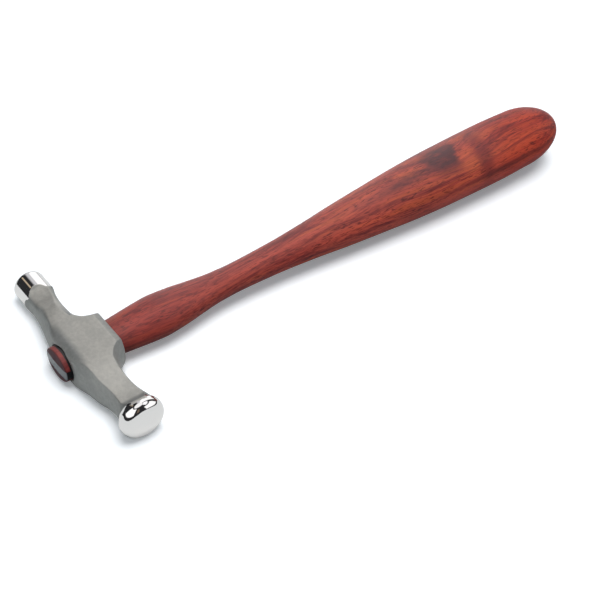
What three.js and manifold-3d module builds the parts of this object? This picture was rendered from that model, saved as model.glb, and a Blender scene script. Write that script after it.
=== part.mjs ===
// A silversmith's blocking hammer, lying on one cheek: a steel head with a broad domed face at one
// end and a small round face at the other, a hardwood handle through its eye, and the wedge that
// spreads the end of the handle. Lengths are in millimetres.
//
// X runs along the head towards the small face, Y along the handle towards the top of the head, and
// Z up through the two flat cheeks. The origin is the middle of the lower cheek, straight below the
// point where the head's axis crosses the handle's axis.

import * as THREE from 'three';
import { mergeVertices } from 'three/addons/utils/BufferGeometryUtils.js';
import Module from 'manifold-3d';

const wasm = await Module();
wasm.setup();

// The head, measured from the crossing of the two axes
const bigReach = 39.0;
const bigFaceRadius = 7.95;
const bigCrownRadius = 18;
const bigEdgeRadius = 3.1;
const bigRimLength = 5.0;
const bigBackRadius = 7.1;
const bigBackLength = 2.0;

const smallReach = 40.2;
const smallFaceRadius = 5.75;
const smallCrownRadius = 24;
const smallEdgeRadius = 2.1;
const smallFaceLength = 8.7;

const cheekHalf = 7.35;
const crownHeight = 9.0;
const socketDepth = 10.0;
const socketHalf = 9.5;
const socketBevelHeight = 2.3;
const socketBevelDepth = 0.95;

// The narrowest places of the two arms: how far out, and how far from the axis on each side
const rimFlare = 0.2;
const bigSideReach = 12.6;
const bigNeck = { topReach: 26.5, top: 5.38, underReach: 22.6, under: 4.18, sideReach: 27, side: 5.1 };
const smallNeck = { topReach: 27.2, top: 5.15, underReach: 22, under: 4.14, sideReach: 26, side: 4.6 };

// Rounding of the long faces across their width. Round the eye the top is flatter, and rolls over
// into the cheeks within these lengths, inside one reach wholly and past the other not at all.
const topArc = 12.3;
const middleArc = 80;
const rollWidth = 2.0;
const rollHeight = 4.2;
const rollFull = 6.8;
const rollEnd = 12.6;
const bigUnderArc = 14;
const smallUnderArc = 6.1;
const flankArc = 10.2;

// The small arm's sides lean in towards the top, by this much per unit of height
const leanShare = 0.194;
const leanHalf = 8.55;
const leanReach = 2;

// The handle
const tenonWidth = 13.6;
const tenonDepth = 11.6;
const tenonProud = 2.55;
const tenonCrown = 0.5;
const shoulderWidth = 14.1;
const shoulderDepth = 10.6;
const handleReach = 212.6;
const swellReach = 28;
const swellWidth = 16.8;
const swellDepth = 13.8;
const waistReach = 60;
const waistDiameter = 10.4;
const gripReach = 180;
const gripDiameter = 23.6;
const buttLength = 19.2;
const buttDiameter = 22.9;

// The wedge and the fits
const wedgeThickness = 4.0;
const wedgeTip = 1.6;
const wedgeLength = 13;
const fitGap = 0.3;
const kerfExtra = 1.5;
const overrun = 4;
const cornerStep = 0.05;
const tipShare = 0.04;

// A smooth curve through points given left to right, with no overshoot between them
function curveThrough(points) {
  const last = points.length - 1;
  const rise = [];
  for (let i = 0; i < last; i += 1) {
    rise.push((points[i + 1][1] - points[i][1]) / (points[i + 1][0] - points[i][0]));
  }
  const slope = points.map((point, i) => {
    const before = rise[Math.max(i - 1, 0)];
    const after = rise[Math.min(i, last - 1)];
    return before * after > 0 ? (2 * before * after) / (before + after) : 0;
  });
  slope[0] = rise[0];
  slope[last] = rise[last - 1];
  return (x) => {
    if (x <= points[0][0]) return points[0][1] + slope[0] * (x - points[0][0]);
    if (x >= points[last][0]) return points[last][1] + slope[last] * (x - points[last][0]);
    let i = 0;
    while (x > points[i + 1][0]) i += 1;
    const width = points[i + 1][0] - points[i][0];
    const t = (x - points[i][0]) / width;
    const along = t * t * (3 - 2 * t);
    const leave = t * (1 - t) * (1 - t) * slope[i] * width;
    const arrive = t * t * (t - 1) * slope[i + 1] * width;
    return points[i][1] * (1 - along) + points[i + 1][1] * along + leave + arrive;
  };
}

// Points between two ends, as shares of the way along and of the change in height
function between(from, to, shares) {
  return shares.map(([along, up]) => [
    from[0] + (to[0] - from[0]) * along,
    from[1] + (to[1] - from[1]) * up,
  ]);
}

// One side of an arm: from its rim, in to its neck, and out again to the middle of the head
function armLine(rim, neck, middle, rimShares, middleShares) {
  return curveThrough([middle, ...between(neck, middle, middleShares).reverse(), neck,
    ...between(neck, rim, rimShares), rim]);
}

const bigRimReach = bigReach - bigRimLength;
const smallRimReach = smallReach - smallFaceLength;
const bigRimHeight = bigFaceRadius + rimFlare;
const smallRimHeight = smallFaceRadius + rimFlare;

// Heights of the top line over the axis, by the distance out from the handle's axis
const bigTop = armLine([bigRimReach, bigRimHeight], [bigNeck.topReach, bigNeck.top],
  [0, crownHeight],
  [[0.47, 0.16], [0.72, 0.43]],
  [[0.12, 0.1], [0.31, 0.47], [0.51, 0.75], [0.69, 0.93]]);
const smallTop = armLine([smallRimReach, smallRimHeight], [smallNeck.topReach, smallNeck.top],
  [0, crownHeight],
  [[0.65, 0.35]],
  [[0.13, 0.065], [0.27, 0.24], [0.5, 0.62], [0.735, 0.9]]);

// Depths of the underside below the axis, out from the edge of the socket
const socketEdge = [socketHalf, socketDepth];
const bigUnder = armLine([bigRimReach, bigRimHeight], [bigNeck.underReach, bigNeck.under],
  socketEdge,
  [[0.39, 0.12], [0.62, 0.28], [0.84, 0.52]],
  [[0.34, 0.04], [0.63, 0.18], [0.82, 0.44], [0.92, 0.72]]);
const smallUnder = armLine([smallRimReach, smallRimHeight], [smallNeck.underReach, smallNeck.under],
  socketEdge,
  [[0.45, 0.22], [0.72, 0.52], [0.9, 0.82]],
  [[0.37, 0.02], [0.67, 0.13], [0.88, 0.37], [0.963, 0.66]]);

// Half widths of the arms: the big arm's straight sides, and the small arm's leaning ones
const bigSide = armLine([bigRimReach, bigFaceRadius], [bigNeck.sideReach, bigNeck.side],
  [bigSideReach, cheekHalf],
  [[0.42, 0.09], [0.72, 0.42]],
  [[0.28, 0.13], [0.56, 0.42], [0.83, 0.82]]);
const smallSide = armLine([smallRimReach, smallFaceRadius], [smallNeck.sideReach, smallNeck.side],
  [leanReach, leanHalf],
  [[0.5, 0.12], [0.85, 0.6]],
  [[0.126, 0.18], [0.29, 0.585], [0.47, 0.77], [0.644, 0.86], [0.82, 0.94]]);

function toSolid(geometry) {
  const bare = geometry.clone();
  bare.deleteAttribute('normal');
  bare.deleteAttribute('uv');
  const merged = mergeVertices(bare);
  return new wasm.Manifold(new wasm.Mesh({
    numProp: 3,
    vertProperties: Float32Array.from(merged.attributes.position.array),
    triVerts: Uint32Array.from(merged.index.array),
  }));
}

function toGeometry(solid) {
  const mesh = solid.getMesh();
  const geometry = new THREE.BufferGeometry();
  geometry.setAttribute('position', new THREE.BufferAttribute(mesh.vertProperties, 3));
  geometry.setIndex(new THREE.BufferAttribute(mesh.triVerts, 1));
  geometry.computeVertexNormals();
  return geometry;
}

// A closed skin over rings of points, all with the same count, with a middle point at each end
function skinOverRings(rings) {
  const count = rings[0].length;
  const corners = rings.flat();
  const faces = [];
  for (let i = 0; i < rings.length - 1; i += 1) {
    for (let j = 0; j < count; j += 1) {
      const a = i * count + j;
      const b = i * count + ((j + 1) % count);
      faces.push(a, b, b + count, a, b + count, a + count);
    }
  }
  [0, rings.length - 1].forEach((i) => {
    const middle = rings[i].reduce((sum, point) => sum.add(point), new THREE.Vector3());
    corners.push(middle.divideScalar(count));
    for (let j = 0; j < count; j += 1) {
      const a = i * count + j;
      const b = i * count + ((j + 1) % count);
      if (i === 0) faces.push(b, a, corners.length - 1);
      else faces.push(a, b, corners.length - 1);
    }
  });
  const geometry = new THREE.BufferGeometry();
  const places = corners.flatMap((point) => [point.x, point.y, point.z]);
  geometry.setAttribute('position', new THREE.Float32BufferAttribute(places, 3));
  geometry.setIndex(faces);
  return geometry;
}

// Evenly spaced values from one end to the other, both included
function steps(from, to, count) {
  return Array.from({ length: count + 1 }, (unused, i) => from + ((to - from) * i) / count);
}

// The turned outline of both ends, as a solid of revolution round the head's axis
function turnedEnds() {
  const domed = (reach, radius, crown, edge) => {
    const inner = radius - edge;
    const edgeReach = reach - crown + Math.sqrt((crown - edge) ** 2 - inner ** 2);
    const meet = Math.asin(inner / (crown - edge));
    const face = steps(0, meet, 5).map((angle) => [
      reach - crown + crown * Math.cos(angle), crown * Math.sin(angle)]);
    const round = steps(meet, Math.PI / 2, 5).slice(1).map((angle) => [
      edgeReach + edge * Math.cos(angle), inner + edge * Math.sin(angle)]);
    return [...face, ...round];
  };
  const body = crownHeight + socketDepth;
  const big = domed(bigReach, bigFaceRadius, bigCrownRadius, bigEdgeRadius);
  big.push([bigRimReach, bigFaceRadius], [bigRimReach - bigBackLength, bigBackRadius],
    [bigRimReach - bigBackLength - overrun, bigBackRadius], [bigRimReach - 2 * overrun, body]);
  const small = domed(smallReach, smallFaceRadius, smallCrownRadius, smallEdgeRadius);
  small.push([smallRimReach - bigBackLength, smallFaceRadius], [smallRimReach - overrun, body]);
  const outline = [
    ...big.map(([reach, radius]) => new THREE.Vector2(radius, -reach)),
    ...small.reverse().map(([reach, radius]) => new THREE.Vector2(radius, reach)),
  ];
  outline[0].x = 0;
  outline[outline.length - 1].x = 0;
  return toSolid(new THREE.LatheGeometry(outline, 48).rotateZ(-Math.PI / 2));
}

// How far the top falls away from its middle line: an even arc on the arms, and round the eye a
// nearly flat top with rolled edges
function topFall(reach, z) {
  const share = Math.min(1, Math.max(0, (rollEnd - reach) / (rollEnd - rollFull)));
  const past = Math.max(0, Math.abs(z) - cheekHalf + rollWidth) / rollWidth;
  const roll = rollHeight * (1 - Math.sqrt(Math.max(0, 1 - past * past)));
  const flat = (z * z) / (2 * middleArc) + roll + rollHeight * Math.max(0, past - 1);
  return share * flat + ((1 - share) * (z * z)) / (2 * topArc);
}

// The block between the top line and the underside. The top is rounded across its width. The
// underside is set into the steel, square to its own line, more and more away from the middle.
function archedBlock() {
  const half = bigFaceRadius + fitGap;
  const edges = steps(0, Math.PI / 2, 6).map((turn) => cheekHalf - rollWidth * (1 - Math.sin(turn)));
  const outward = [...steps(0, cheekHalf - rollWidth, 4).slice(0, -1), ...edges, half];
  const across = [...outward.slice(1).reverse().map((z) => -z), ...outward];
  const ring = (side, reach, top, under, underArc) => {
    const upper = across.map((z) => new THREE.Vector3(
      side * reach, top(reach) - topFall(reach, z), z));
    const turn = Math.atan((under(reach) - under(reach + cornerStep)) / cornerStep);
    const flankShare = Math.min(1, Math.max(0, turn) / (Math.PI / 2));
    const arc = underArc + (flankArc - underArc) * flankShare;
    const lower = across.map((z) => {
      if (reach < socketHalf) {
        const inset = ((z * z) / (2 * flankArc)) * (reach / socketHalf);
        return new THREE.Vector3(side * (reach - inset), -socketDepth - overrun, z);
      }
      const depth = (z * z) / (2 * arc);
      return new THREE.Vector3(side * (reach - depth * Math.sin(turn)),
        -under(reach) + depth * Math.cos(turn), z);
    });
    return [...upper, ...lower.reverse()];
  };
  const stations = (neckReach, rimReach, endReach) => [
    ...steps(0, socketHalf - cornerStep, 4),
    ...steps(0, 1, 8).map((share) => socketHalf + (neckReach - socketHalf) * share * share),
    ...steps(neckReach, rimReach, 7).slice(1),
    endReach,
  ];
  const big = stations(bigNeck.underReach, bigRimReach, bigReach + overrun);
  const small = stations(smallNeck.underReach, smallRimReach, smallReach + overrun);
  return toSolid(skinOverRings([
    ...big.slice(1).reverse().map((reach) => ring(-1, reach, bigTop, bigUnder, bigUnderArc)),
    ...small.map((reach) => ring(1, reach, smallTop, smallUnder, smallUnderArc)),
  ]));
}

// An upright slice across the head at one place, given from below up as heights and half widths
function slice(x, levels) {
  const near = levels.map(([y, half]) => new THREE.Vector3(x, y, half));
  const far = levels.map(([y, half]) => new THREE.Vector3(x, y, -half));
  return [...near, ...far.reverse()];
}

// The space between the two cheeks, drawn in along the big arm and bevelled at the socket's edge
function cheekBlock() {
  const flat = (x, half) => slice(x, [[-socketDepth, half - socketBevelDepth],
    [-socketDepth + socketBevelHeight, half], [crownHeight + overrun, half]]);
  return toSolid(skinOverRings([
    flat(-bigReach - overrun, bigRimHeight + overrun),
    ...steps(bigSideReach, bigRimReach, 12).map((reach) => flat(-reach, bigSide(reach))).reverse(),
    flat(smallReach + overrun, cheekHalf),
  ]));
}

// The space between the small arm's leaning sides
function leaningBlock() {
  const wide = bigRimHeight + overrun;
  const reaches = steps(leanReach, smallRimReach, 16);
  const lean = (reach, half, share) => slice(reach, [[-socketDepth, half + share * socketDepth],
    [crownHeight + overrun, half - share * (crownHeight + overrun)]]);
  return toSolid(skinOverRings([
    lean(-bigReach - overrun, wide, 0),
    lean(-bigSideReach, wide, 0),
    ...reaches.map((reach) => lean(reach, smallSide(reach), leanShare)),
    lean(smallReach + overrun, wide, 0),
  ]));
}

// An oval ring of points square to the handle
function oval(y, width, depth) {
  return steps(0, 2 * Math.PI, 32).slice(1).map((angle) => new THREE.Vector3(
    (width / 2) * Math.cos(angle), y, (depth / 2) * Math.sin(angle)));
}

// A solid of oval rings, each [y, width, depth], from the top of the handle downwards
function ovalSolid(rings) {
  return toSolid(skinOverRings(rings.map(([y, width, depth]) => oval(y, width, depth))));
}

// The eye, wider than the tenon by the fit all round
function eye() {
  const slack = 2 * fitGap;
  return ovalSolid([
    [crownHeight + overrun, tenonWidth + slack, tenonDepth + slack],
    [crownHeight, tenonWidth + slack, tenonDepth + slack],
    [-socketDepth, shoulderWidth + slack, shoulderDepth + slack],
    [-socketDepth - overrun, shoulderWidth + slack, shoulderDepth + slack],
  ]);
}

function steelHead() {
  return archedBlock().intersect(cheekBlock()).intersect(leaningBlock())
    .intersect(turnedEnds()).subtract(eye());
}

// Handle sizes by the distance down from the head's axis
const swell = [[0.45, 0.52], [0.74, 0.83]];
const neckIn = [[0.25, 0.8], [0.5, 0.42], [0.75, 0.1]];
const gripOut = [[0.133, 0.068], [0.267, 0.238], [0.4, 0.476], [0.533, 0.671], [0.667, 0.85],
  [0.8, 0.95]];

function handleLine(shoulder, swelling) {
  const waist = [waistReach, waistDiameter];
  return curveThrough([
    [socketDepth, shoulder],
    ...between([socketDepth, shoulder], [swellReach, swelling], swell),
    [swellReach, swelling],
    ...between([swellReach, swelling], waist, neckIn.map(([along, up]) => [along, 1 - up])),
    waist,
    ...between(waist, [gripReach, gripDiameter], gripOut),
    [gripReach, gripDiameter],
    [handleReach - buttLength, buttDiameter],
  ]);
}

const handleWidth = handleLine(shoulderWidth, swellWidth);
const handleDepth = handleLine(shoulderDepth, swellDepth);
const handleTop = crownHeight + tenonProud;

// The end of the handle, from its low crown down to the top of the eye
function tenonRings() {
  const domed = steps(0, Math.PI / 2, 4).slice(0, -1).map((angle) => [
    handleTop - tenonCrown * (1 - Math.cos(angle)),
    tenonWidth * Math.sin(angle), tenonDepth * Math.sin(angle)]).slice(1);
  return [
    [handleTop, tenonWidth * tipShare, tenonDepth * tipShare],
    ...domed,
    [handleTop - tenonCrown, tenonWidth - fitGap, tenonDepth - fitGap],
    [handleTop - 2 * tenonCrown, tenonWidth, tenonDepth],
    [crownHeight, tenonWidth, tenonDepth],
  ];
}

// The wedge's tapered blade, right across the tenon and up past its top. The kerf for it is wider
// by a gap on each side, and deeper.
function blade(gap, extra) {
  const taper = (wedgeThickness - wedgeTip) / wedgeLength;
  const level = (y, thick) => [[1, 1], [-1, 1], [-1, -1], [1, -1]]
    .map(([x, z]) => new THREE.Vector3(x * tenonWidth, y, (z * thick) / 2));
  return toSolid(skinOverRings([
    level(handleTop + overrun, wedgeThickness + taper * overrun + 2 * gap),
    level(handleTop - wedgeLength - extra, wedgeTip - taper * extra + 2 * gap),
  ]));
}

function woodenHandle() {
  const shaft = steps(socketDepth, handleReach - buttLength, 40)
    .map((reach) => [-reach, handleWidth(reach), handleDepth(reach)]);
  const butt = steps(0, Math.PI / 2, 10).slice(1, -1).map((angle) => [
    -(handleReach - buttLength + buttLength * Math.sin(angle)),
    buttDiameter * Math.cos(angle), buttDiameter * Math.cos(angle)]);
  const tip = [-handleReach, buttDiameter * tipShare, buttDiameter * tipShare];
  return ovalSolid([...tenonRings(), ...shaft, ...butt, tip]).subtract(blade(fitGap, kerfExtra));
}

// The wedge is dressed flush with the tenon all round
function wedge() {
  const whole = ovalSolid([...tenonRings(), [-socketDepth, shoulderWidth, shoulderDepth]]);
  return whole.intersect(blade(0, 0));
}

function piece(name, solid, color, roughness, metalness) {
  const mesh = new THREE.Mesh(toGeometry(solid),
    new THREE.MeshStandardMaterial({ color, roughness, metalness }));
  mesh.name = name;
  return mesh;
}

const hammer = new THREE.Group();
hammer.add(
  piece('steel_head', steelHead(), 0x8f9290, 0.4, 1),
  piece('wooden_handle', woodenHandle(), 0x96483f, 0.35, 0),
  piece('handle_wedge', wedge(), 0x2b2624, 0.3, 0),
);
hammer.position.z = cheekHalf;

export default hammer;
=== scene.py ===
import math

import bpy
import numpy as np
from mathutils import Matrix, Vector


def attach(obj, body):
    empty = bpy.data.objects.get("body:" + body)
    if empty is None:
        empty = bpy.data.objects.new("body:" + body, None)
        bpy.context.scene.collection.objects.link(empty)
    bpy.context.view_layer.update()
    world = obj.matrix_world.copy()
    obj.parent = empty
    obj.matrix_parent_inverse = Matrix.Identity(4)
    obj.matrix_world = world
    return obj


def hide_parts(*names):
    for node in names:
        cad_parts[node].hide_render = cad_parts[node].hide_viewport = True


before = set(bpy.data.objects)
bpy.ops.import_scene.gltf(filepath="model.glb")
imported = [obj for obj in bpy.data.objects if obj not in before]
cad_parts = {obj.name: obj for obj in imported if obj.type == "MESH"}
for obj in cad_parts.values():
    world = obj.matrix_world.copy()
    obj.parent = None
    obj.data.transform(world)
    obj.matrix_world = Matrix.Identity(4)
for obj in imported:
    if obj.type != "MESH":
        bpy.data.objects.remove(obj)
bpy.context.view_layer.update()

MM = 0.001

# The head
big_reach = 39.0
big_face_radius = 7.95
big_crown_radius = 18.0
big_edge_radius = 3.1
big_rim_reach = 34.0
big_back_radius = 7.1
big_back_length = 2.0
big_back_opening = 28.0
polish_start = 32.7
small_reach = 40.2
small_face_radius = 5.75
small_crown_radius = 24.0
small_edge_radius = 2.1
small_rim_reach = 31.5
small_back_opening = 29.5
cheek_half = 7.35
crown_height = 9.0
socket_depth = 10.0
socket_half = 9.5
socket_bevel_height = 2.3
socket_bevel_depth = 0.95
rim_flare = 0.2
big_side_reach = 12.6
top_arc = 12.3
middle_arc = 80.0
roll_width = 2.0
roll_height = 4.2
roll_full = 6.8
roll_end = 12.6
roll_start = 4.0
roll_fade = 2.2
big_under_arc = 14.0
small_under_arc = 6.1
flank_arc = 10.2
lean = 0.194
lean_half = 8.55
lean_reach = 2.0
draw_start = big_side_reach - 4
opening_fall = 2
big_past_rim = 0.6
small_past_rim = 1.5
no_limit = 99

# How far each edge of the head is eased
back_edge = 0.4
draw_edge = 0.5
crisp_edge = 0.35
soft_edge = 1.4
soft_reach = 6.0
polish_edge = 0.12
bevel_edge = 0.35

# The grid that the head's mesh is drawn from, and how often its points are moved to the surface
cell = 0.2425
margin = 3 * cell
settle_rounds = 3
tiny = 1e-9

# How the cheeks' paler tone, a painted reflection, is shared out over the ground steel; the other
# ground faces keep a darker tone, painted shade
cheek_facing = 0.84
cheek_fade = 0.13
small_arm_start = 12
small_arm_run = 6
small_low_widening = 0.5
small_top_widening = 0.12
widening_fade = 0.5
bevel_run = 0.15
# The socket's bevel loses this much of the cheeks' paler tone: painted shade
bevel_painted_shade = 0.4

# The handle and the wedge
tenon_width = 13.6
tenon_depth = 11.6
tenon_top = 11.5
tenon_crown = 0.45
tenon_edge = 0.5
shoulder_width = 14.1
shoulder_depth = 10.6
swell_reach = 28.0
swell_width = 16.8
swell_depth = 13.8
waist_reach = 60.0
waist_size = 10.4
grip_reach = 180.0
grip_size = 23.6
handle_reach = 212.6
butt_length = 19.2
butt_diameter = 22.9
butt_tip = 0.3
butt_drift = -0.8
drift_run = 4
eye_gap = 0.3
wedge_thickness = 4.0
wedge_tip = 1.6
wedge_length = 13.0
wedge_gap = 0.06
overrun = 4.0
wedge_sink = 0.04
kerf_extra = 1.5
sharp_angle = 40.0

# Sides and rings of the handle's mesh
sides_round = 144
crown_rings = 14
edge_rings = 6
top_rings = 4
eye_rings = 16
shaft_rings = 240
butt_rings = 40

# Colours, as linear shares of red, green and blue, and how rough the steel is
# Lit and shaded copies of the satin steel: the cheeks' paler tone is a painted reflection, the
# other ground faces' darker tone is painted shade
cheek_painted_reflection_dim = (0.49, 0.482, 0.453)
cheek_painted_reflection_bright = (0.605, 0.594, 0.557)
side_painted_shade_dim = (0.285, 0.295, 0.29)
side_painted_shade_bright = (0.36, 0.37, 0.362)
worn_color = (1.0, 0.98, 0.93)
satin_roughness = 0.66
satin_spread = 0.03
polished_color = (0.79, 0.775, 0.765)
polished_roughness = 0.03
polished_rest = 0.05
wood_dark = (0.165, 0.026, 0.025)
wood_light = (0.44, 0.074, 0.05)
wood_orange = (0.52, 0.10, 0.045)
wood_smoke = (0.058, 0.018, 0.022)
wood_ember = (0.60, 0.12, 0.048)
wood_pore = (0.05, 0.012, 0.013)
# The end grain's grey is partly its own dark colour and partly a painted sheen
end_grain_painted_sheen = (0.105, 0.105, 0.112)
wood_glow = (0.60, 0.085, 0.035)
wood_seam = (0.07, 0.011, 0.013)
# Near black for the wood in the eye and at its mouth: painted shade
eye_painted_shade = (0.006, 0.005, 0.005)
wedge_dark = (0.004, 0.004, 0.005)
wedge_light = (0.012, 0.011, 0.011)
# The wedge's end grain: partly its own colour and partly a painted sheen
wedge_end_painted_sheen = (0.185, 0.195, 0.205)

# Noise in the materials: its scale per millimetre each way, its detail and its roughness
grinding_noise = ((9.0, 0.35, 0.6), 3.0, 0.6)
cloud_noise = ((0.16, 0.16, 0.16), 2.0, 0.5)
fine_noise = ((0.8, 0.8, 0.8), 4.0, 0.6)
wander_noise = ((0.05, 0.012, 0.05), 2.0, 0.5)
broad_noise = ((0.22, 0.01, 0.22), 3.0, 0.55)
streak_noise = ((0.7, 0.022, 0.7), 3.0, 0.6)
fibre_noise = ((2.2, 0.10, 2.2), 2.0, 0.6)
pore_noise = ((2.6, 0.34, 2.6), 1.0, 0.5)
crowd_noise = ((0.35, 0.06, 0.35), 2.0, 0.5)
orange_noise = ((0.3, 0.008, 0.3), 2.0, 0.5)
orange_shift = (40, 0, 9)
smoke_noise = ((0.5, 0.2, 0.5), 3.0, 0.6)
wedge_noise = ((5.0, 0.15, 5.0), 3.0, 0.6)

# Where a noise, or the polish, goes from none to full, or from a third value to a fourth
polish_line = (-0.02, 0.03)
shade_range = (0.33, 0.67)
cloud_range = (0.3, 0.7)
level_range = (0.60, 0.88)
orange_range = (0.5, 0.68)
pore_range = (0.56, 0.64)
crowd_range = (0.38, 0.62, 0.4, 1.0)
glow_streaks = (0.42, 0.58, 0.2, 1.0)
seam_fibres = (0.3, 0.6, 0.5, 1.0)
knot_smoke = (0.3, 0.6, 0.6, 1.0)
ember_streaks = (0.4, 0.6, 0.25, 0.8)

# How much of each part goes into the wood, and how far its grain is moved, in millimetres
broad_share = 0.65
streak_share = 0.4
fibre_share = 0.45
orange_share = 0.6
glow_share = 0.6
seam_share = 0.75
tail_share = 0.75
dull_share = 0.95
arc_share = 0.68
pore_share = 0.7
# Painted shade on the rim round the end grain
rim_painted_shade = 0.6
wander_width = 14.0
swirl_width = 5.0
knot_slant = 0.15
knot_fray = 8.0

# Marks in the steel and the wood: where each lies, its size each way and how softly it ends
worn_mark = ((-19.0, 0.0, 6.0), (7.0, 7.0, 4.0), 0.9)
worn_share = 0.16
swirl_mark = ((-1.5, -154.5, 11.0), (9.0, 17.0, 9.0), 0.9)
knot_mark = ((-1.5, -154.5, 11.0), (6.5, 9.5, 5.5), 0.5)
tail_mark = ((-3.4, -137.0, 10.2), (2.2, 20.0, 3.0), 0.7)
ember_mark = ((-7.6, -163.6, 8.6), (4.5, 4.0, 4.5), 0.8)
arc_mark = ((-6.0, -170.0, 9.0), (12.0, 3.2, 12.0), 0.6)
glow_mark = ((-9.0, -186.0, 6.5), (5.0, 15.0, 6.0), 0.7)
seam_mark = ((-11.2, -182.0, 1.8), (2.4, 26.0, 1.1), 0.6)

# Stretches of the handle, by height in millimetres, and what the wood's colour is multiplied by
neck_stretch = (-52.0, -20.0)
neck_tone = (0.77, 0.66, 0.70)
shoulder_stretch = (-18.0, -11.0)
shoulder_tone = (0.74, 0.84, 0.88)
grip_from = (-82.0, -100.0)
grip_until = (-148.0, -134.0)
grip_tone = (1.08, 1.12, 1.08)
butt_stretch = (-170.0, -186.0)
butt_tone = (0.95, 0.70, 0.66)
# The grip's side that faces −X is made lighter: painted light
painted_light_from = (-62.0, -80.0)
side_painted_light_tone = (1.22, 1.08, 1.04)
knot_cut = (-158.0, -155.0)
end_grain_from = (10.85, 11.05)
# Painted shade over the whole tenon above the eye, its end grain too
tenon_painted_shade = (8.0, 9.2, 0.0, 0.45)
# Painted shade on the rim round the end grain
rim_from = (10.6, 10.8)
rim_until = (11.1, 10.95)
# Painted shade on the wood in the eye and at its mouth
eye_from = (-10.0, -9.6)
eye_until = (9.4, 9.2)
wedge_end_from = (10.7, 10.95)
wedge_top = (10.6, 11.0)

# Directions that the wood's surface faces, as shares along an axis, and what they turn into:
# painted light on the grip's side, painted shade on the underside, the +X side and the butt's
# end, and the lacquer's coat
painted_light_facing = (-0.7, -0.95)
underside_painted_shade = (-0.2, -0.65, 0.0, 0.5)
x_side_painted_shade = (0.38, 0.79, 0.0, 0.25)
butt_end_painted_shade = (-0.5, -0.85, 0.0, 0.4)
lacquer_facing = (0.3, 0.9, 0.1, 1.0)
lacquer_stretch = (-200.0, -150.0, 0.5, 1.0)

# Strength of a bump, and its height in millimetres
grinding_bump = (0.25, 0.02)
wood_bump = (0.35, 0.05)

# The light
soft_level = 0.24
soft_color = (0.80, 1.0, 1.12)
lamp_level = 0.8
lamp_spread = 38.0
lamp_turn = 246.0
lamp_rise = 82.0
floor_lift = 0.2
floor_color = (0.94, 0.95, 0.97)
floor_bounce = (0.45, 0.47, 0.5)
floor_mirrored = (0.84, 0.83, 0.815)
dark_studio = (0.03, 0.03, 0.032)
height_fade = 2
# Openings in the dark studio that the polish reflects, in degrees: turn and half width, heights,
# how soft the upright edges are, and colour. A later one hides an earlier one.
studio_openings = [
    ((-108.0, 28.0), (46.0, 67.0), 6.0, (1.3, 1.3, 1.33)),
    ((-20.0, 14.0), (2.0, 70.0), 9.0, (0.72, 0.72, 0.75)),
    ((-49.0, 20.0), (2.0, 70.0), 3.0, (1.3, 1.3, 1.3)),
    ((103.0, 47.0), (18.0, 62.0), 2.0, (1.3, 1.3, 1.3)),
    ((-124.0, 33.0), (5.0, 38.0), 2.0, (1.3, 1.3, 1.3)),
    ((26.0, 4.0), (38.0, 52.0), 2.0, (0.62, 0.50, 0.36)),
    ((171.0, 6.0), (20.0, 46.0), 3.0, (0.20, 0.15, 0.11)),
    ((0.0, 190.0), (69.0, 95.0), 2.0, (1.15, 1.15, 1.15)),
]

FRAME_PIXELS = 600
SENSOR_WIDTH = 36.0

# What finds the points that the hammer lies on, in metres of the CAD frame
head_low = -0.012
end_reach = 0.03
grip_low = -0.1
floor_half = 3.0


def metres(points):
    """Millimetres round the crossing of the two axes, as metres of the CAD frame."""
    return (np.asarray(points, float) + (0, 0, cheek_half)) * MM


# Camera
camera_place = Vector((-0.30776, 0.14947, 0.37938))
camera_aim = Vector((-0.02221, -0.07300, 0.00735))
camera_roll = math.radians(1.965)
camera_focal_pixels = 1492.75


def add_camera():
    data = bpy.data.cameras.new("camera")
    data.sensor_width = SENSOR_WIDTH
    data.lens = camera_focal_pixels * SENSOR_WIDTH / FRAME_PIXELS
    data.clip_start, data.clip_end = 0.01, 50
    camera = bpy.data.objects.new("camera", data)
    bpy.context.scene.collection.objects.link(camera)
    toward = (camera_aim - camera_place).to_track_quat("-Z", "Y")
    turn = toward.to_matrix().to_4x4() @ Matrix.Rotation(camera_roll, 4, "Z")
    camera.matrix_world = Matrix.Translation(camera_place) @ turn
    bpy.context.scene.camera = camera


add_camera()


# Curves
def curve_through(points):
    """A smooth curve through points given left to right, with no overshoot between them."""
    xs, ys = np.array(points, float).T
    rise = np.diff(ys) / np.diff(xs)
    slope = np.concatenate([rise[:1], np.zeros(len(xs) - 2), rise[-1:]])
    for i in range(1, len(xs) - 1):
        if rise[i - 1] * rise[i] > 0:
            slope[i] = 2 * rise[i - 1] * rise[i] / (rise[i - 1] + rise[i])

    def height(x):
        inside = np.clip(x, xs[0], xs[-1])
        i = np.clip(np.searchsorted(xs, inside, side="right") - 1, 0, len(xs) - 2)
        width = xs[i + 1] - xs[i]
        t = (inside - xs[i]) / width
        along = t * t * (3 - 2 * t)
        leave = t * (1 - t) ** 2 * slope[i] * width
        arrive = t * t * (t - 1) * slope[i + 1] * width
        beyond = (x - inside) * np.where(x < xs[0], slope[0], slope[-1])
        return ys[i] * (1 - along) + ys[i + 1] * along + leave + arrive + beyond

    return height


def between(start, end, shares):
    """Points between two ends, as shares of the way along and of the change in height."""
    return [
        (start[0] + (end[0] - start[0]) * along, start[1] + (end[1] - start[1]) * up)
        for along, up in shares
    ]


def arm_line(rim, neck, middle, rim_shares, middle_shares):
    """One side of an arm: from the middle of the head, in to its neck and out to its rim."""
    inner = between(neck, middle, middle_shares)[::-1]
    return curve_through([middle, *inner, neck, *between(neck, rim, rim_shares), rim])


big_rim = (big_rim_reach, big_face_radius + rim_flare)
small_rim = (small_rim_reach, small_face_radius + rim_flare)
crown = (0.0, crown_height)
socket_edge = (socket_half, socket_depth)

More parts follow.
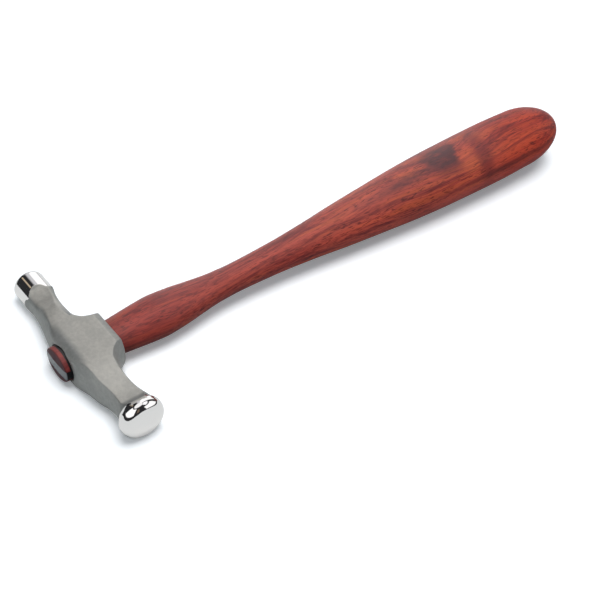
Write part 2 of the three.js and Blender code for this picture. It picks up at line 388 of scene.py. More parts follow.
big_top = arm_line(
    big_rim, (26.5, 5.38), crown,
    [(0.47, 0.16), (0.72, 0.43)],
    [(0.12, 0.1), (0.31, 0.47), (0.51, 0.75), (0.69, 0.93)],
)
small_top = arm_line(
    small_rim, (27.2, 5.15), crown,
    [(0.65, 0.35)],
    [(0.13, 0.065), (0.27, 0.24), (0.5, 0.62), (0.735, 0.9)],
)
big_under = arm_line(
    big_rim, (22.6, 4.18), socket_edge,
    [(0.39, 0.12), (0.62, 0.28), (0.84, 0.52)],
    [(0.34, 0.04), (0.63, 0.18), (0.82, 0.44), (0.92, 0.72)],
)
small_under = arm_line(
    small_rim, (22.0, 4.14), socket_edge,
    [(0.45, 0.22), (0.72, 0.52), (0.9, 0.82)],
    [(0.37, 0.02), (0.67, 0.13), (0.88, 0.37), (0.963, 0.66)],
)
big_side = arm_line(
    (big_rim_reach, big_face_radius), (27.0, 5.1), (big_side_reach, cheek_half),
    [(0.42, 0.09), (0.72, 0.42)],
    [(0.28, 0.13), (0.56, 0.42), (0.83, 0.82)],
)
small_side = arm_line(
    (small_rim_reach, small_face_radius), (26.0, 4.6), (lean_reach, lean_half),
    [(0.5, 0.12), (0.85, 0.6)],
    [(0.126, 0.18), (0.29, 0.585), (0.47, 0.77), (0.644, 0.86), (0.82, 0.94)],
)


# The head as a field that is positive inside the steel and close to a distance in millimetres
slope_step = 0.02
table_step = 0.1
table_low = (0.0, -16.0)
table_high = (44.0, 12.0)
just_inside = 1.001
bend_width = 4
line_points = 220
line_overrun = 2
flank_top = -5.2
below_reach = 6
below_points = 60


def slope_of(curve, x):
    return (curve(x + slope_step) - curve(x - slope_step)) / (2 * slope_step)


def eased_min(a, b, ease):
    """The smaller of two fields, with the edge between them rounded over the width ease."""
    overlap = np.maximum(ease - np.abs(a - b), 0)
    return np.minimum(a, b) - overlap * overlap / (4 * ease)


def underside_table(under):
    """How far inside the underside a place is, and whether its nearest stretch is the flank."""
    reach = np.concatenate([
        np.linspace(socket_half, socket_half + bend_width, line_points),
        np.linspace(socket_half + bend_width, big_rim_reach + line_overrun, line_points)[1:],
    ])
    line = np.stack([reach, -under(reach)], 1)
    turn = np.arctan2(-np.gradient(line[:, 1]), np.gradient(line[:, 0]))
    flank = np.clip(np.abs(turn) / (math.pi / 2), 0, 1) * (line[:, 1] < flank_top)
    below = line[0] + (line[0] - line[1]) / np.linalg.norm(line[0] - line[1]) * below_reach
    line = np.concatenate([np.linspace(below, line[0], below_points)[:-1], line])
    flank = np.concatenate([np.full(below_points - 1, flank[0]), flank])
    xs = np.arange(table_low[0], table_high[0] + table_step, table_step)
    ys = np.arange(table_low[1], table_high[1] + table_step, table_step)
    depth = np.zeros((len(xs), len(ys)))
    share = np.zeros((len(xs), len(ys)))
    for i, x in enumerate(xs):
        away = (x - line[:, 0]) ** 2 + (ys[:, None] - line[:, 1]) ** 2
        nearest = away.argmin(1)
        depth[i] = np.sqrt(away.min(1))
        share[i] = flank[nearest]
        edge = np.interp(ys, line[:below_points, 1], line[:below_points, 0])
        outside = (x > edge) & (ys < -socket_depth)
        if x > socket_half:
            outside |= (ys < -under(np.float64(x))) & (ys >= -socket_depth)
        depth[i][outside] *= -1

    def look_up(x, y):
        u = np.clip((x - xs[0]) / table_step, 0, len(xs) - just_inside)
        v = np.clip((y - ys[0]) / table_step, 0, len(ys) - just_inside)
        u, v = np.broadcast_arrays(u, v)
        i, j = u.astype(int), v.astype(int)
        u, v = u - i, v - j
        found = []
        for table in (depth, share):
            near = table[i, j] * (1 - v) + table[i, j + 1] * v
            far = table[i + 1, j] * (1 - v) + table[i + 1, j + 1] * v
            found.append(near * (1 - u) + far * u)
        return found

    return look_up


big_underside = underside_table(big_under)
small_underside = underside_table(small_under)


def domed_end(out, radius, reach, face_radius, crown_radius, edge_radius):
    """A turned face: a shallow dome, a rounded edge and a straight side."""
    inner = face_radius - edge_radius
    middle = reach - crown_radius
    edge_reach = middle + math.sqrt((crown_radius - edge_radius) ** 2 - inner**2)
    dome = crown_radius - np.hypot(out - middle, radius)
    edge = edge_radius - np.hypot(out - edge_reach, radius - inner)
    on_dome = radius * (edge_reach - middle) < inner * (out - middle)
    past_edge = np.where(out > edge_reach, edge, face_radius - radius)
    return np.where(on_dome, dome, past_edge)


def turned_ends(x, y, z):
    """The polished ends, and no limit over the arms between them."""
    radius = np.hypot(y, z)
    big = domed_end(-x, radius, big_reach, big_face_radius, big_crown_radius, big_edge_radius)
    fall = (big_face_radius - big_back_radius) / big_back_length
    back = (big_face_radius - radius + (-x - big_rim_reach) * fall) / math.hypot(1, fall)
    back = np.where(-x < big_rim_reach, np.maximum(back, big_back_radius - radius), no_limit)
    big = eased_min(big, back, back_edge)
    big = big + np.maximum(big_back_opening + x, 0) * opening_fall
    small = domed_end(
        x, radius, small_reach, small_face_radius, small_crown_radius, small_edge_radius
    )
    small = small + np.maximum(small_back_opening - x, 0) * opening_fall
    return np.where(x < 0, big, small)


def eye_clearance(x, y, z):
    """How far outside the oval eye a place is."""
    share = np.clip((crown_height - y) / (crown_height + socket_depth), 0, 1)
    half_width = (tenon_width + (shoulder_width - tenon_width) * share) / 2 + eye_gap
    half_depth = (tenon_depth + (shoulder_depth - tenon_depth) * share) / 2 + eye_gap
    size = np.sqrt((x / half_width) ** 2 + (z / half_depth) ** 2) + tiny
    steep = np.sqrt((x / half_width**2) ** 2 + (z / half_depth**2) ** 2) / size + tiny
    return (size - 1) / steep


def top_fall(reach, z):
    """How far the top falls away sideways: evenly on the arms, with rolled edges at the eye."""
    share = np.clip((roll_end - reach) / (roll_end - roll_full), 0, 1)
    past = np.maximum(z - cheek_half + roll_width, 0) / roll_width
    roll = roll_height * (1 - np.sqrt(np.maximum(1 - past * past, 0)))
    flat = z * z / (2 * middle_arc) + roll + roll_height * np.maximum(past - 1, 0)
    return share * flat + (1 - share) * z * z / (2 * top_arc)


def ground_faces(x, y, z):
    """The satin-ground faces of the arms and the socket."""
    z = np.abs(z)
    reach = np.abs(x)
    on_big = x < 0
    top = np.where(on_big, big_top(reach), small_top(reach))
    tilt = np.where(on_big, slope_of(big_top, reach), slope_of(small_top, reach))
    steep = (top_fall(reach, z + slope_step) - top_fall(reach, z - slope_step)) / (2 * slope_step)
    top = (top - top_fall(reach, z) - y) / np.sqrt(1 + tilt**2 + steep**2)

    drawn = np.maximum(reach, draw_start)
    tilt = slope_of(big_side, drawn)
    draw = np.where(on_big, (big_side(drawn) - z) / np.sqrt(1 + tilt**2), no_limit)
    cheek = eased_min(cheek_half - z, draw, draw_edge)
    slope = socket_bevel_depth / socket_bevel_height
    bevel = cheek_half - z + (y + socket_depth - socket_bevel_height) * slope
    cheek = eased_min(cheek, bevel / math.hypot(1, slope), bevel_edge)
    leaning = small_side(reach)
    tilt = slope_of(small_side, reach)
    leaning = (leaning - lean * y - z) / np.sqrt(1 + lean**2 + tilt**2)
    cheek = eased_min(cheek, np.where(on_big, no_limit, leaning), crisp_edge)

    along = np.clip((x - roll_end) / soft_reach, 0, 1)
    body = eased_min(cheek, top, crisp_edge + (soft_edge - crisp_edge) * along)

    depth, flank = big_underside(reach, y)
    big_arc = big_under_arc + (flank_arc - big_under_arc) * flank
    big_low = (depth - z * z / (2 * big_arc)) / np.sqrt(1 + (z / big_arc) ** 2)
    depth, flank = small_underside(reach, y)
    small_arc = small_under_arc + (flank_arc - small_under_arc) * flank
    small_low = (depth - z * z / (2 * small_arc)) / np.sqrt(1 + (z / small_arc) ** 2)
    body = eased_min(body, np.where(on_big, big_low, small_low), crisp_edge)
    return eased_min(body, socket_depth + y, crisp_edge)


def past_rims(x):
    """Whether a place is past the rims, where only the turned ends limit the steel."""
    return (x < -big_rim_reach - big_past_rim) | (x > small_rim_reach + small_past_rim)


def head_field(x, y, z):
    turned = turned_ends(x, y, z)
    ground = np.where(past_rims(x), no_limit, ground_faces(x, y, z))
    body = eased_min(turned, ground, polish_edge)
    return eased_min(body, eye_clearance(x, y, z), crisp_edge)


def field_slope(field, points, step=0.01):
    """The field's steepest rise at each point."""
    rise = []
    for axis in range(3):
        shift = np.zeros(3)
        shift[axis] = step
        rise.append(field(*(points + shift).T) - field(*(points - shift).T))
    return np.stack(rise, 1) / (2 * step)


def surface_net(field, low, high):
    """A closed mesh of four-sided faces where the field crosses zero, inside the given box."""
    axes = [np.arange(a, b + cell, cell) for a, b in zip(low, high)]
    value = field(axes[0][:, None, None], axes[1][None, :, None], axes[2][None, None, :])
    cells = np.array(value.shape) - 1
    place_sum = np.zeros((cells.prod(), 3))
    count = np.zeros(cells.prod())
    corners = []
    for axis in range(3):
        others = [a for a in range(3) if a != axis]
        turned = np.moveaxis(value, axis, 0)
        at = np.argwhere((turned[:-1] > 0) != (turned[1:] > 0))
        start = turned[at[:, 0], at[:, 1], at[:, 2]]
        end = turned[at[:, 0] + 1, at[:, 1], at[:, 2]]
        index = np.zeros_like(at)
        index[:, axis], index[:, others[0]], index[:, others[1]] = at.T
        place = np.stack([axes[a][index[:, a]] for a in range(3)], 1)
        place[:, axis] += cell * start / (start - end)
        around = []
        for step in ((-1, -1), (0, -1), (0, 0), (-1, 0)):
            near = index.copy()
            near[:, others[0]] += step[0]
            near[:, others[1]] += step[1]
            around.append((near[:, 0] * cells[1] + near[:, 1]) * cells[2] + near[:, 2])
            for a in range(3):
                place_sum[:, a] += np.bincount(around[-1], place[:, a], len(place_sum))
            count += np.bincount(around[-1], minlength=len(count))
        quads = np.stack(around, 1)
        # A start of exactly zero counts as outside in the test above and as inside in this one.
        # That turns the faces of the socket's flat underside inwards, which is a known fault.
        flip = (start < 0) != (axis == 1)
        quads[flip] = quads[flip][:, ::-1]
        corners.append(quads)
    used = count > 0
    number = np.cumsum(used) - 1
    points = place_sum[used] / count[used][:, None]
    for _ in range(settle_rounds):
        rise = field_slope(field, points)
        size = (rise**2).sum(1) + tiny
        points -= rise * (field(*points.T) / size)[:, None]
    return points, number[np.concatenate(corners)]


def add_mesh(name, points, faces, material, node):
    """A piece of the hammer from points in millimetres, in place of a CAD node."""
    mesh = bpy.data.meshes.new(name)
    mesh.from_pydata(metres(points), [], [list(face) for face in faces])
    mesh.validate()
    mesh.materials.append(material)
    mesh.shade_smooth()
    piece = bpy.data.objects.new(name, mesh)
    bpy.context.scene.collection.objects.link(piece)
    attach(piece, "root")
    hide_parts(node)
    return piece


def painted_reflection_share(points, normals):
    """How much of the cheeks' paler tone, a painted reflection, each point has; the rolled edges
    by the eye and the socket's bevel lose it as painted shade.
    """
    small_arm = np.clip((points[:, 0] - small_arm_start) / small_arm_run, 0, 1)
    sides = np.where(normals[:, 1] < 0, small_low_widening, small_top_widening) * small_arm
    flat = np.abs(normals[:, 2]) - cheek_facing + sides
    flat = np.clip(flat / (cheek_fade + widening_fade * sides), 0, 1)
    # The rolled edges by the eye and the socket's bevel lose the paler tone: painted shade
    by_eye = np.clip((roll_end - np.abs(points[:, 0])) / (roll_end - roll_full), 0, 1)
    rolled = np.clip((points[:, 1] - roll_start) / roll_fade, 0, 1) * by_eye
    bevelled = np.clip((socket_bevel_height - socket_depth - points[:, 1]) / bevel_run, 0, 1)
    return flat * (1 - rolled) * (1 - bevel_painted_shade * bevelled)


def polish_lead(points):
    """How far each point is past the line where the polish starts."""
    x = points[:, 0]
    lead = np.where(past_rims(x), 1, ground_faces(*points.T) - turned_ends(*points.T))
    return np.where(x < 0, np.minimum(lead, -x - polish_start), lead)


def add_head(material):
    low = (-big_reach - margin, -socket_depth - margin, -big_face_radius - margin)
    high = (small_reach + margin, crown_height + margin, big_face_radius + margin)
    points, faces = surface_net(head_field, low, high)
    head = add_mesh("steel_head_finish", points, faces, material, "steel_head")
    rise = field_slope(head_field, points)
    normals = -rise / np.linalg.norm(rise, axis=1)[:, None]
    head.data.normals_split_custom_set_from_vertices(normals)
    # The cheek share carries the painted reflection that makes the cheeks paler
    shares = {"cheek": painted_reflection_share(points, normals), "polish": polish_lead(points)}
    for name, values in shares.items():
        attribute = head.data.attributes.new(name, "FLOAT", "POINT")
        attribute.data.foreach_set("value", values.astype(np.float32))
    return head


# The handle
def handle_line(shoulder, swelling):
    """The handle's width or depth, by how far below the crossing of the axes it is."""
    start = (socket_depth, shoulder)
    swell = (swell_reach, swelling)
    waist = (waist_reach, waist_size)
    grip = (grip_reach, grip_size)
    return curve_through([
        start,
        *between(start, swell, [(0.45, 0.52), (0.74, 0.83)]),
        swell,
        *between(swell, waist, [(0.25, 0.2), (0.5, 0.58), (0.75, 0.9)]),
        waist,
        *between(waist, grip, [
            (0.133, 0.068), (0.267, 0.238), (0.4, 0.476), (0.533, 0.671), (0.667, 0.85),
            (0.8, 0.95),
        ]),
        grip,
        (handle_reach - butt_length, butt_diameter),
    ])


def loft(rings):
    """Points and faces of a closed skin over oval rings, each (y, width, depth, x)."""
    around = sides_round
    angle = np.arange(around) * 2 * math.pi / around
    points = [
        np.stack([
            x + width / 2 * np.cos(angle),
            np.full(around, y),
            depth / 2 * np.sin(angle),
        ], 1)
        for y, width, depth, x in rings
    ]
    ends = [[[x, y, 0]] for y, _, _, x in (rings[0], rings[-1])]
    points = np.concatenate([*points, *ends])
    first, last = len(points) - 2, len(points) - 1
    faces = []
    for i in range(len(rings) - 1):
        for j in range(around):
            a, b = i * around + j, i * around + (j + 1) % around
            faces.append((a, b, b + around))
            faces.append((a, b + around, a + around))
    end = (len(rings) - 1) * around
    for j in range(around):
        following = (j + 1) % around
        faces.append((following, j, first))
        faces.append((end + j, end + following, last))
    return points, faces


def tenon_rings(lift):
    """The end of the handle, from its low crown down to the top of the eye."""
    rings = []
    for angle in np.linspace(0, math.pi / 2, crown_rings)[1:]:
        share = math.sin(angle) * (1 - 2 * tenon_edge / tenon_depth)
        rings.append((tenon_top + lift - tenon_crown * share**2, tenon_width * share,
                      tenon_depth * share, 0.0))
    edge_top = tenon_top - tenon_crown
    for angle in np.linspace(0, math.pi / 2, edge_rings)[1:]:
        inset = 2 * tenon_edge * (1 - math.sin(angle))
        rings.append((edge_top - tenon_edge * (1 - math.cos(angle)),
                      tenon_width - inset, tenon_depth - inset, 0.0))
    for y in np.linspace(edge_top - tenon_edge, crown_height, top_rings)[1:]:
        rings.append((y, tenon_width, tenon_depth, 0.0))
    return rings


def add_handle(material):
    width_at = handle_line(shoulder_width, swell_width)
    depth_at = handle_line(shoulder_depth, swell_depth)
    shaft_end = handle_reach - butt_length

    def drift(reach):
        share = (reach - shaft_end + drift_run) / (butt_length + drift_run)
        return butt_drift * max(0.0, share) ** 2

    rings = tenon_rings(0)
    for share in np.linspace(0, 1, eye_rings)[1:-1]:
        rings.append((crown_height - (crown_height + socket_depth) * share,
                      tenon_width + (shoulder_width - tenon_width) * share,
                      tenon_depth + (shoulder_depth - tenon_depth) * share, 0.0))
    for reach in np.linspace(socket_depth, shaft_end, shaft_rings):
        rings.append((-reach, float(width_at(reach)), float(depth_at(reach)), drift(reach)))
    for angle in np.linspace(0, math.pi / 2, butt_rings)[1:-1]:
        reach = shaft_end + butt_length * math.sin(angle)
        size = butt_diameter * math.cos(angle)
        rings.append((-reach, size, size, drift(reach)))
    rings.append((-handle_reach, butt_tip, butt_tip, drift(handle_reach)))
    points, faces = loft(rings)
    handle = add_mesh("wooden_handle_finish", points, faces, material, "wooden_handle")
    cut_with_blade(handle, "DIFFERENCE", wedge_gap, kerf_extra)
    return handle


def blade_mesh(name, gap, extra):
    """The wedge's tapered blade, right across the tenon, wider by a gap and deeper."""
    taper = (wedge_thickness - wedge_tip) / wedge_length
    bottom = tenon_top - wedge_length - extra
    top = tenon_top + overrun
    points = [
        (x * tenon_width, y, z * half)
        for y, half in (
            (bottom, (wedge_tip - taper * extra) / 2 + gap),
            (top, (wedge_thickness + taper * overrun) / 2 + gap),
        )
        for x, z in ((-1, -1), (1, -1), (1, 1), (-1, 1))
    ]
    faces = [(0, 1, 2, 3), (7, 6, 5, 4), (0, 4, 5, 1), (1, 5, 6, 2), (2, 6, 7, 3), (3, 7, 4, 0)]
    mesh = bpy.data.meshes.new(name)
    mesh.from_pydata(metres(points), [], faces)
    return mesh


def cut_with_blade(piece, operation, gap, extra):
    """Cuts the kerf out of the handle, or the wedge's own shape out of a copy of the tenon."""
    blade = bpy.data.objects.new("blade", blade_mesh("blade", gap, extra))
    bpy.context.scene.collection.objects.link(blade)
    cut = piece.modifiers.new("blade", "BOOLEAN")
    cut.operation = operation
    cut.solver = "EXACT"
    cut.object = blade
    bpy.context.view_layer.update()
    whole = piece.evaluated_get(bpy.context.evaluated_depsgraph_get())
    mesh = bpy.data.meshes.new_from_object(whole)
    piece.modifiers.remove(cut)
    piece.data = mesh
    bpy.data.objects.remove(blade)
    mesh.set_sharp_from_angle(angle=math.radians(sharp_angle))


def add_wedge(material):
    """The wedge is dressed flush with the tenon all round."""
    rings = [*tenon_rings(-wedge_sink), (-socket_depth, shoulder_width, shoulder_depth, 0.0)]
    points, faces = loft(rings)
    wedge = add_mesh("handle_wedge_finish", points, faces, material, "handle_wedge")
    cut_with_blade(wedge, "INTERSECT", 0.0, 0.0)


# Materials
class Shading:
    """The node tree of a material or a world, with short ways to add and join its nodes."""

    def __init__(self, owner):
        owner.use_nodes = True
        self.owner = owner
        self.tree = owner.node_tree
        self.shader = self.tree.nodes.get("Principled BSDF") or self.tree.nodes["Background"]

    def put(self, socket, value):
        if isinstance(value, bpy.types.NodeSocket):
            self.tree.links.new(value, socket)
        elif isinstance(value, tuple) and len(value) == 3 and socket.type == "RGBA":
            socket.default_value = (*value, 1)
        else:
            socket.default_value = value

    def final(self, name, value):
        """Sets or joins a socket of the material's own shader."""
        self.put(self.shader.inputs[name], value)

    def node(self, kind, inputs=(), **settings):
        node = self.tree.nodes.new(kind)
        for key, value in settings.items():
            setattr(node, key, value)
        for key, value in dict(inputs).items():
            self.put(node.inputs[key], value)
        return node

    def place(self):
        """Millimetres round the crossing of the axes."""
        place = self.node("ShaderNodeTexCoord").outputs["Object"]
        scaled = self.node("ShaderNodeVectorMath", {0: place, 1: (1 / MM,) * 3},
                           operation="MULTIPLY")
        return self.node("ShaderNodeVectorMath", {0: scaled.outputs[0], 1: (0, 0, -cheek_half)},
                         operation="ADD").outputs[0]

    def stretched(self, place, scale, shift=(0, 0, 0)):
        moved = self.node("ShaderNodeVectorMath", {0: place, 1: shift}, operation="ADD")
        return self.node("ShaderNodeVectorMath", {0: moved.outputs[0], 1: scale},
                         operation="MULTIPLY").outputs[0]

    def noise(self, place, scale, detail, roughness, shift=(0, 0, 0)):
        return self.node("ShaderNodeTexNoise", {
            "Vector": self.stretched(place, scale, shift), "Scale": 1.0, "Detail": detail,
            "Roughness": roughness, "Distortion": 0.0,
        }).outputs["Fac"]

    def math(self, operation, *values):
        return self.node("ShaderNodeMath", dict(enumerate(values)),
                         operation=operation).outputs[0]

    def ramp(self, value, low, high, start=0.0, end=1.0):
        """A smooth step from start to end as the value goes from low to high."""
        return self.node("ShaderNodeMapRange", {
            "Value": value, "From Min": low, "From Max": high, "To Min": start, "To Max": end,
        }, interpolation_type="SMOOTHSTEP").outputs["Result"]

    def blend(self, share, a, b, kind="MIX"):
        mix = self.node("ShaderNodeMix", data_type="RGBA", blend_type=kind)
        self.put(mix.inputs[0], share)
        self.put(mix.inputs[6], a)
        self.put(mix.inputs[7], b)
        return mix.outputs[2]

    def patch(self, place, centre, size, edge):
        """One inside an oval body round the centre, fading out past its size."""
        away = self.stretched(place, tuple(1 / s for s in size), tuple(-c for c in centre))
        length = self.node("ShaderNodeVectorMath", {0: away}, operation="LENGTH")
        return self.ramp(length.outputs["Value"], 1 + edge, 1 - edge)

    def bump(self, height, strength, distance):
        return self.node("ShaderNodeBump", {
            "Height": height, "Strength": strength, "Distance": distance * MM,
        }).outputs["Normal"]


def steel_material():
    made = Shading(bpy.data.materials.new("satin_and_polished_steel"))
    place = made.place()
    lead = made.node("ShaderNodeAttribute", attribute_name="polish").outputs["Fac"]
    polished = made.ramp(lead, *polish_line)
    lines = made.noise(place, *grinding_noise)
    cloud = made.noise(place, *cloud_noise)
    fine = made.noise(place, *fine_noise)
    shade = made.math("ADD", made.math("MULTIPLY", cloud, 0.5), made.math("MULTIPLY", fine, 0.5))
    shade = made.ramp(shade, *shade_range)
    # The cheeks take the paler tone of a painted reflection, the other ground faces the darker
    # tone of painted shade
    cheek = made.node("ShaderNodeAttribute", attribute_name="cheek").outputs["Fac"]
    satin = made.blend(cheek, made.blend(shade, side_painted_shade_dim, side_painted_shade_bright),
                       made.blend(shade, cheek_painted_reflection_dim, cheek_painted_reflection_bright))
    worn = made.patch(place, *worn_mark)
    satin = made.blend(made.math("MULTIPLY", worn, worn_share), satin, worn_color)
    rough = made.ramp(cloud, *cloud_range, satin_roughness - satin_spread,
                      satin_roughness + satin_spread)
    smoother = made.math("MULTIPLY", polished, -satin_roughness + polished_rest)
    rough = made.math("MAXIMUM", made.math("ADD", rough, smoother), polished_roughness)
    made.final("Base Color", made.blend(polished, satin, polished_color))
    made.final("Roughness", rough)
    made.final("Metallic", 1.0)
    lines = made.math("MULTIPLY", lines, made.math("SUBTRACT", 1.0, polished))
    made.final("Normal", made.bump(lines, *grinding_bump))
    return made.owner


def wood_material():
    made = Shading(bpy.data.materials.new("lacquered_red_hardwood"))
    place = made.place()
    at = made.node("ShaderNodeSeparateXYZ", {0: place}).outputs
    height = at["Y"]
    facing = made.node("ShaderNodeSeparateXYZ", {
        0: made.node("ShaderNodeTexCoord").outputs["Normal"],
    }).outputs

    # The grain wanders, and bends round the knot
    wander = made.math("MULTIPLY", made.noise(place, *wander_noise), wander_width)
    swirl = made.math("MULTIPLY", made.patch(place, *swirl_mark), swirl_width)
    shift = made.math("ADD", wander, swirl)
    shift = made.node("ShaderNodeCombineXYZ", {"X": shift, "Y": 0.0, "Z": shift}).outputs[0]
    warped = made.node("ShaderNodeVectorMath", {0: place, 1: shift}, operation="ADD").outputs[0]
    broad = made.noise(warped, *broad_noise)
    streak = made.noise(warped, *streak_noise)
    fibre = made.noise(warped, *fibre_noise)
    pores = made.ramp(made.noise(place, *pore_noise), *pore_range)
    pores = made.math("MULTIPLY", pores, made.ramp(made.noise(place, *crowd_noise), *crowd_range))
    level = made.math("ADD", made.math("MULTIPLY", broad, broad_share),
                      made.math("MULTIPLY", streak, streak_share))
    level = made.math("ADD", level, made.math("MULTIPLY", fibre, fibre_share))
    color = made.blend(made.ramp(level, *level_range), wood_dark, wood_light)
    orange = made.ramp(made.noise(warped, *orange_noise, orange_shift), *orange_range)
    color = made.blend(made.math("MULTIPLY", orange, orange_share), color, wood_orange)

    # The tone changes along the handle, and the side towards the broad face is made lighter with
    # painted light
    grip = made.math("MULTIPLY", made.ramp(height, *grip_from), made.ramp(height, *grip_until))
    # Painted light on the grip's side that faces −X
    side = made.math("MULTIPLY", made.ramp(facing["X"], *painted_light_facing),
                     made.ramp(height, *painted_light_from))
    for share, tone in (
        (made.ramp(height, *neck_stretch), neck_tone),
        (made.ramp(height, *shoulder_stretch), shoulder_tone),
        (grip, grip_tone),
        (made.ramp(height, *butt_stretch), butt_tone),
        (side, side_painted_light_tone),
    ):
        color = made.blend(share, color, tone, "MULTIPLY")

    # Marks on the grip: a red glow, a dark seam, the knot with its tail, an ember and an arc
    glow = made.math("MULTIPLY", made.patch(place, *glow_mark), made.ramp(streak, *glow_streaks))
    color = made.blend(made.math("MULTIPLY", glow, glow_share), color, wood_glow)
    seam = made.math("MULTIPLY", made.patch(place, *seam_mark), made.ramp(fibre, *seam_fibres))
    color = made.blend(made.math("MULTIPLY", seam, seam_share), color, wood_seam)
    smoke = made.noise(place, *smoke_noise)
    skew = made.math("ADD", height, made.math("MULTIPLY", at["X"], knot_slant))
    skew = made.math("ADD", skew, made.math("MULTIPLY", smoke, knot_fray))
    knot = made.math("MULTIPLY", made.patch(place, *knot_mark), made.ramp(skew, *knot_cut))
    tail = made.math("MULTIPLY", made.patch(place, *tail_mark), tail_share)
    dull = made.math("MAXIMUM", knot, tail)
    dull = made.math("MULTIPLY", dull, made.ramp(smoke, *knot_smoke))
    color = made.blend(made.math("MULTIPLY", dull, dull_share), color, wood_smoke)
    ember = made.math("MULTIPLY", made.patch(place, *ember_mark),
                      made.ramp(streak, *ember_streaks))
    color = made.blend(ember, color, wood_ember)
    arc = made.patch(place, *arc_mark)
    color = made.blend(made.math("MULTIPLY", arc, arc_share), color, wood_dark)
    color = made.blend(made.math("MULTIPLY", pores, pore_share), color, wood_pore)

    # The end grain, partly its own dark colour and partly a painted grey sheen; painted shade
    # over the tenon above the eye, on the rim round the end grain and on the part in the eye; and
    # painted shade on edges that turn away
    color = made.blend(made.ramp(height, *end_grain_from), color, end_grain_painted_sheen)
    color = made.blend(made.ramp(height, *tenon_painted_shade), color, wood_dark)
    rim = made.math("MULTIPLY", made.ramp(height, *rim_from), made.ramp(height, *rim_until))
    color = made.blend(made.math("MULTIPLY", rim, rim_painted_shade), color, wood_pore)
    in_eye = made.math("MULTIPLY", made.ramp(height, *eye_from), made.ramp(height, *eye_until))
    color = made.blend(in_eye, color, eye_painted_shade)
    # Painted shade on the underside, the +X side and the butt's end
    edge = made.math("MAXIMUM", made.ramp(facing["Z"], *underside_painted_shade),
                     made.ramp(facing["X"], *x_side_painted_shade))
    edge = made.math("MAXIMUM", edge, made.ramp(facing["Y"], *butt_end_painted_shade))
    made.final("Base Color", made.blend(edge, color, wood_dark))
    made.final("Roughness", made.ramp(height, *end_grain_from, 0.52, 0.75))
    made.final("Specular IOR Level", 0.05)
    made.final("Coat Weight", made.math("MULTIPLY", made.ramp(facing["Z"], *lacquer_facing),
                                        made.ramp(height, *lacquer_stretch)))
    made.final("Coat Roughness", 0.5)
    made.final("Coat IOR", 1.6)
    surface = made.math("SUBTRACT", made.math("MULTIPLY", fibre, 0.3), pores)
    made.final("Normal", made.bump(surface, *wood_bump))
    return made.owner


def wedge_material():
    made = Shading(bpy.data.materials.new("dark_wedge_wood"))
    place = made.place()
    height = made.node("ShaderNodeSeparateXYZ", {0: place}).outputs["Y"]
    color = made.blend(made.noise(place, *wedge_noise), wedge_dark, wedge_light)
    # The wedge's end grain takes a grey that is partly a painted sheen
    made.final("Base Color", made.blend(made.ramp(height, *wedge_end_from), color, wedge_end_painted_sheen))
    made.final("Roughness", made.ramp(height, *wedge_top, 0.6, 0.3))
    made.final("Specular IOR Level", 0.1)
    made.final("Coat Weight", made.ramp(height, *wedge_top, 0.0, 0.4))
    made.final("Coat Roughness", 0.15)
    return made.owner


def floor_material():
    made = Shading(bpy.data.materials.new("floor_white"))
    made.final("Roughness", 1.0)
    made.final("Specular IOR Level", 0.0)
    rays = made.node("ShaderNodeLightPath").outputs
    seen = made.math("MAXIMUM", rays["Is Camera Ray"], rays["Is Glossy Ray"])
    seen = made.math("MAXIMUM", seen, rays["Is Transmission Ray"])
    color = made.blend(seen, floor_bounce, floor_mirrored)
    color = made.blend(rays["Is Camera Ray"], color, floor_color)
    made.final("Base Color", color)
    made.final("Emission Color", (1, 1, 1))
    made.final("Emission Strength", made.math("MULTIPLY", rays["Is Camera Ray"], floor_lift))
    return made.owner


def floor_plane(pieces):
    """A point on the floor and its upward normal: the plane that the hammer lies on."""
    places = []
    for piece in pieces:
        flat = np.zeros(len(piece.data.vertices) * 3, np.float32)
        piece.data.vertices.foreach_get("co", flat)
        places.append(flat.reshape(-1, 3).astype(float))
    places = np.concatenate(places)
    head = places[places[:, 1] > head_low]
    big = head[head[:, 0] < -end_reach]
    small = head[head[:, 0] > end_reach]
    big, small = big[big[:, 2].argmin()], small[small[:, 2].argmin()]
    far = places[places[:, 1] < grip_low]
    along = small - big
    best = None
    for place in far:
        normal = np.cross(along, place - big)
        normal /= np.linalg.norm(normal) * np.sign(normal[2])
        tilt = normal[1] / normal[2]
        if best is None or tilt < best[0]:
            best = (tilt, normal)
    return big, best[1]


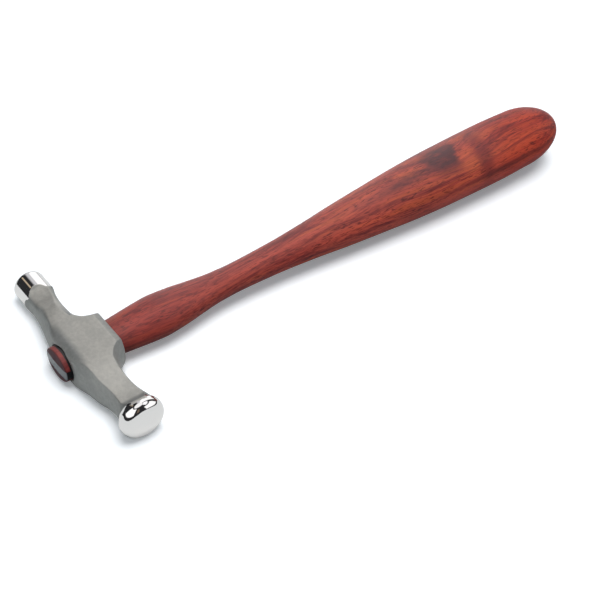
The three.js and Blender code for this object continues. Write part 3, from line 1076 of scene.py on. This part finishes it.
def add_floor(point, normal):
    half = floor_half
    mesh = bpy.data.meshes.new("floor")
    mesh.from_pydata([(-half, -half, 0), (half, -half, 0), (half, half, 0), (-half, half, 0)],
                     [], [(0, 1, 2, 3)])
    floor = bpy.data.objects.new("floor", mesh)
    bpy.context.scene.collection.objects.link(floor)
    tilt = Vector(normal).to_track_quat("Z", "Y").to_matrix().to_4x4()
    floor.matrix_world = Matrix.Translation(Vector(point)) @ tilt
    mesh.materials.append(floor_material())


def add_light():
    """A white studio: soft light from all round, a large lamp, and what the polish reflects."""
    world = bpy.data.worlds.new("studio")
    bpy.context.scene.world = world
    made = Shading(world)
    along = made.node("ShaderNodeTexCoord").outputs["Generated"]
    part = made.node("ShaderNodeSeparateXYZ", {0: along}).outputs
    around = made.math("ARCTAN2", part["Y"], part["X"])
    height = made.math("ARCSINE", part["Z"])
    mirrored = dark_studio
    for (middle, half), (low, high), fade, opening in studio_openings:
        turn = made.math("SUBTRACT", around, math.radians(middle))
        turn = made.math("ABSOLUTE", made.math("WRAP", turn, math.pi, -math.pi))
        inside = made.ramp(turn, math.radians(half + fade), math.radians(half - fade))
        above = made.ramp(height, math.radians(low - height_fade),
                          math.radians(low + height_fade))
        below = made.ramp(height, math.radians(high + height_fade),
                          math.radians(high - height_fade))
        inside = made.math("MULTIPLY", inside, made.math("MULTIPLY", above, below))
        mirrored = made.blend(inside, mirrored, opening)
    rays = made.node("ShaderNodeLightPath").outputs
    soft = tuple(soft_level * share for share in soft_color)
    color = made.blend(rays["Is Glossy Ray"], soft, mirrored)
    made.final("Color", made.blend(rays["Is Camera Ray"], color, (1, 1, 1)))
    made.final("Strength", 1.0)
    data = bpy.data.lights.new("overhead", "SUN")
    data.angle = math.radians(lamp_spread)
    data.energy = lamp_level * math.pi
    lamp = bpy.data.objects.new("overhead", data)
    bpy.context.scene.collection.objects.link(lamp)
    turn, rise = math.radians(lamp_turn), math.radians(lamp_rise)
    toward = Vector((math.cos(turn) * math.cos(rise), math.sin(turn) * math.cos(rise),
                     math.sin(rise)))
    lamp.location = toward
    lamp.rotation_euler = toward.to_track_quat("Z", "Y").to_euler()
    lamp.visible_glossy = False


head = add_head(steel_material())
handle = add_handle(wood_material())
add_wedge(wedge_material())
point, normal = floor_plane([head, handle])
add_floor(point, normal)
add_light()
bpy.context.scene.view_settings.view_transform = "Standard"
